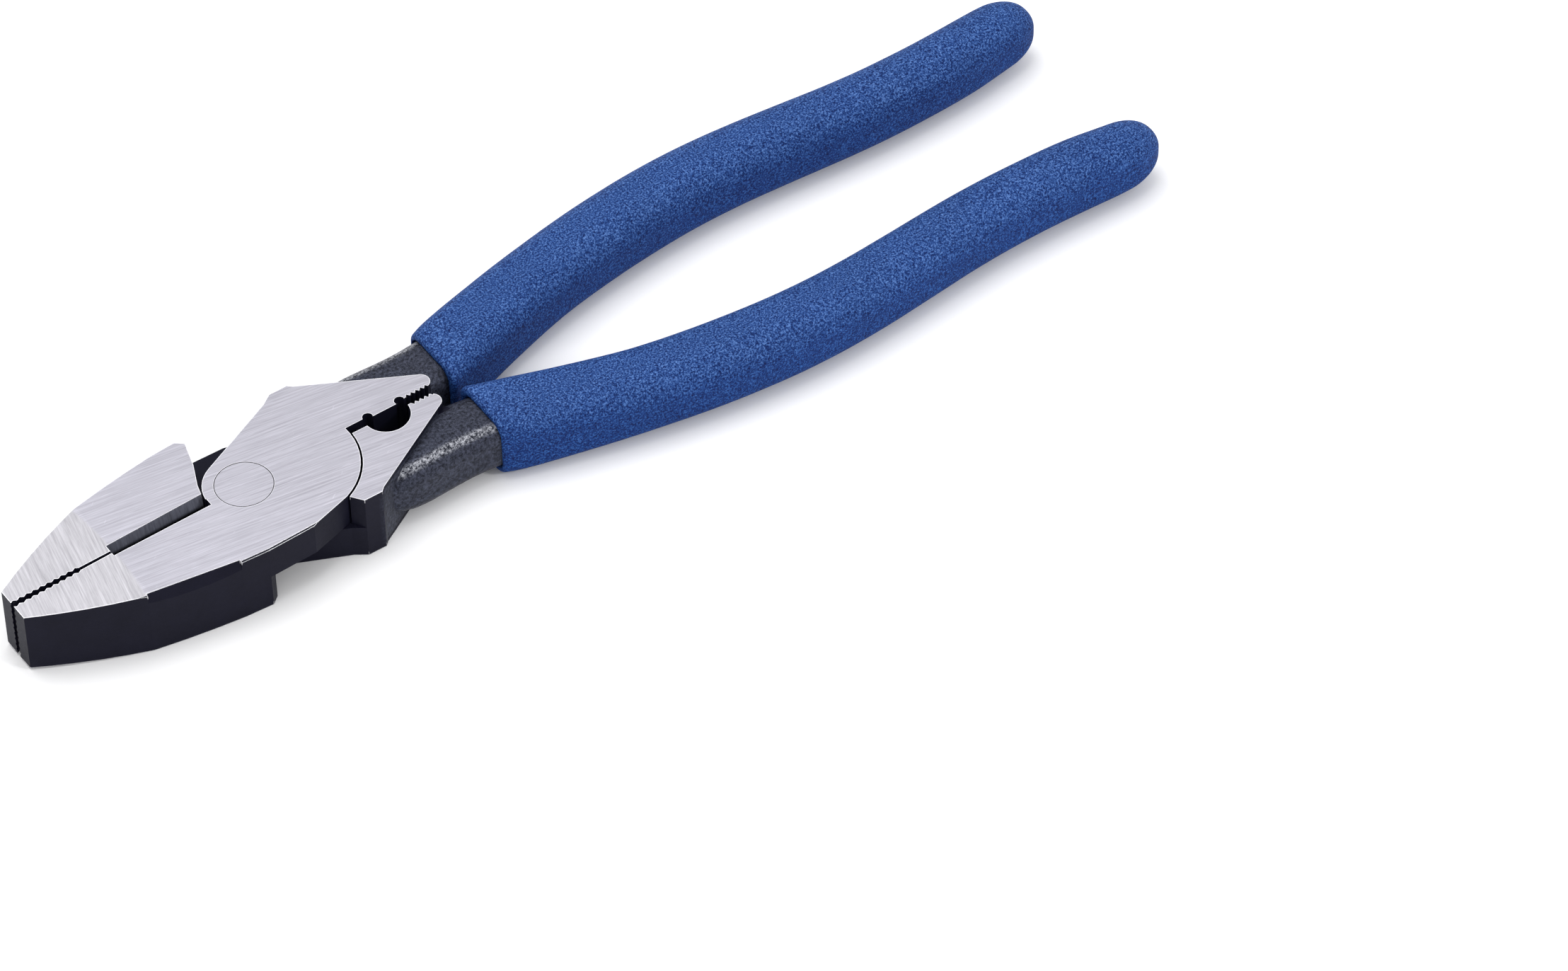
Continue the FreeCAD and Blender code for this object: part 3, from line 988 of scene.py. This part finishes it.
@dataclass(frozen=True)
class SoftLight:
    """One square soft box that points at the tool."""

    name: str
    place: tuple[float, float, float]
    size: float
    power: float

    def build(self, target: Vector) -> None:
        """Hang the light and aim it.

        Args:
            target: the point that it faces.
        """
        lamp = bpy.data.lights.new(self.name, "AREA")
        lamp.shape = "SQUARE"
        lamp.size = self.size
        lamp.energy = self.power
        holder = bpy.data.objects.new(self.name, lamp)
        holder.location = target + Vector(self.place)
        holder.rotation_euler = (-Vector(self.place)).to_track_quat("-Z", "Y").to_euler()
        bpy.context.scene.collection.objects.link(holder)
        log.info("hung %s", self.name)


@dataclass
class Studio:
    """The floor, the white surroundings and the soft boxes."""

    lights: tuple[SoftLight, ...] = (
        SoftLight("overhead_box", (0.1, -0.25, 1.1), size=0.9, power=7.4),
        SoftLight("ridge_box", (-0.38, 0.72, 0.6), size=0.13, power=2.4),
    )
    floor_half: float = 3.0
    floor_gap: float = 0.05 * MM
    horizon: float = 0.43
    zenith: float = 1.05
    haze: float = 0.34
    haze_top: Ramp = (0.12, 0.06)

    def _floor(self) -> None:
        """Lay the paper just under the lowest point of the tool."""
        level = CAD_BOX[0][2] - self.floor_gap
        half = self.floor_half
        turns = ((-half, -half), (half, -half), (half, half), (-half, half))
        corners = [(x, y, level) for x, y in turns]
        mesh = bpy.data.meshes.new("paper_floor")
        mesh.from_pydata(corners, [], [(0, 1, 2, 3)])
        floor = bpy.data.objects.new("paper_floor", mesh)
        bpy.context.scene.collection.objects.link(floor)
        set_finish(floor, FloorFinish().dress("paper"))

    def _surroundings(self) -> None:
        """Fill the surroundings with white: brighter to the top, with a pale haze low down."""
        world = bpy.data.worlds.new("white_room")
        world.use_nodes = True
        tree = NodeTree(world.node_tree)
        height = tree.part(tree.add("ShaderNodeTexCoord").outputs["Generated"], Axis.Z)
        sky = height.ramp((0.0, 1.0), (self.horizon, self.zenith))
        haze = height.ramp(self.haze_top, (0.0, self.haze))
        background = tree.add(
            "ShaderNodeBackground", None, {"Color": (1.0, 1.0, 1.0, 1.0), "Strength": sky + haze}
        )
        tree.add("ShaderNodeOutputWorld", None, {0: background.outputs[0]})
        bpy.context.scene.world = world

    def build(self) -> None:
        """Set up the floor, the surroundings and the lights."""
        self._floor()
        self._surroundings()
        low, high = CAD_BOX
        target = (Vector(low) + Vector(high)) / 2
        for light in self.lights:
            light.build(target)
        bpy.context.scene.view_settings.view_transform = "Standard"
        log.info("laid the floor and lit the room")


@dataclass
class Viewpoint:
    """The camera: where it stands, where it looks from and how long its lens is."""

    place: tuple[float, float, float] = (0.448032, 0.840757, 1.041729)
    azimuth_deg: float = 56.1067
    elevation_deg: float = 47.4137
    roll_deg: float = -1.4738
    lens_mm: float = 178.7
    sensor_mm: float = 36.0
    nearest: float = 0.01
    farthest: float = 20.0

    def build(self) -> None:
        """Stand the camera and make it the scene's own."""
        azimuth = math.radians(self.azimuth_deg)
        elevation = math.radians(self.elevation_deg)
        roll = math.radians(self.roll_deg)
        back = Vector((
            math.cos(elevation) * math.cos(azimuth),
            math.cos(elevation) * math.sin(azimuth),
            math.sin(elevation),
        ))
        level = Vector((0.0, 0.0, 1.0)).cross(back).normalized()
        upright = back.cross(level)
        right = level * math.cos(roll) + upright * math.sin(roll)
        up = upright * math.cos(roll) - level * math.sin(roll)
        data = bpy.data.cameras.new("viewpoint")
        data.lens = self.lens_mm
        data.sensor_width = self.sensor_mm
        data.clip_start = self.nearest
        data.clip_end = self.farthest
        camera = bpy.data.objects.new("viewpoint", data)
        facing = Matrix((right, up, back)).transposed().to_4x4()
        camera.matrix_world = Matrix.Translation(self.place) @ facing
        bpy.context.scene.collection.objects.link(camera)
        bpy.context.scene.camera = camera
        log.info("stood the camera")


def main() -> None:
    """Build the tool's finishes and grips, then the studio."""
    logging.basicConfig(level=logging.INFO, format="%(name)s: %(message)s")
    Viewpoint().build()
    ForgedSteelwork().build()
    coat = DippedGripFinish().dress("dipped_vinyl")
    for side in Side:
        set_finish(DippedGrip(side).build(), coat)
    Studio().build()


if __name__ == "__main__":
    main()
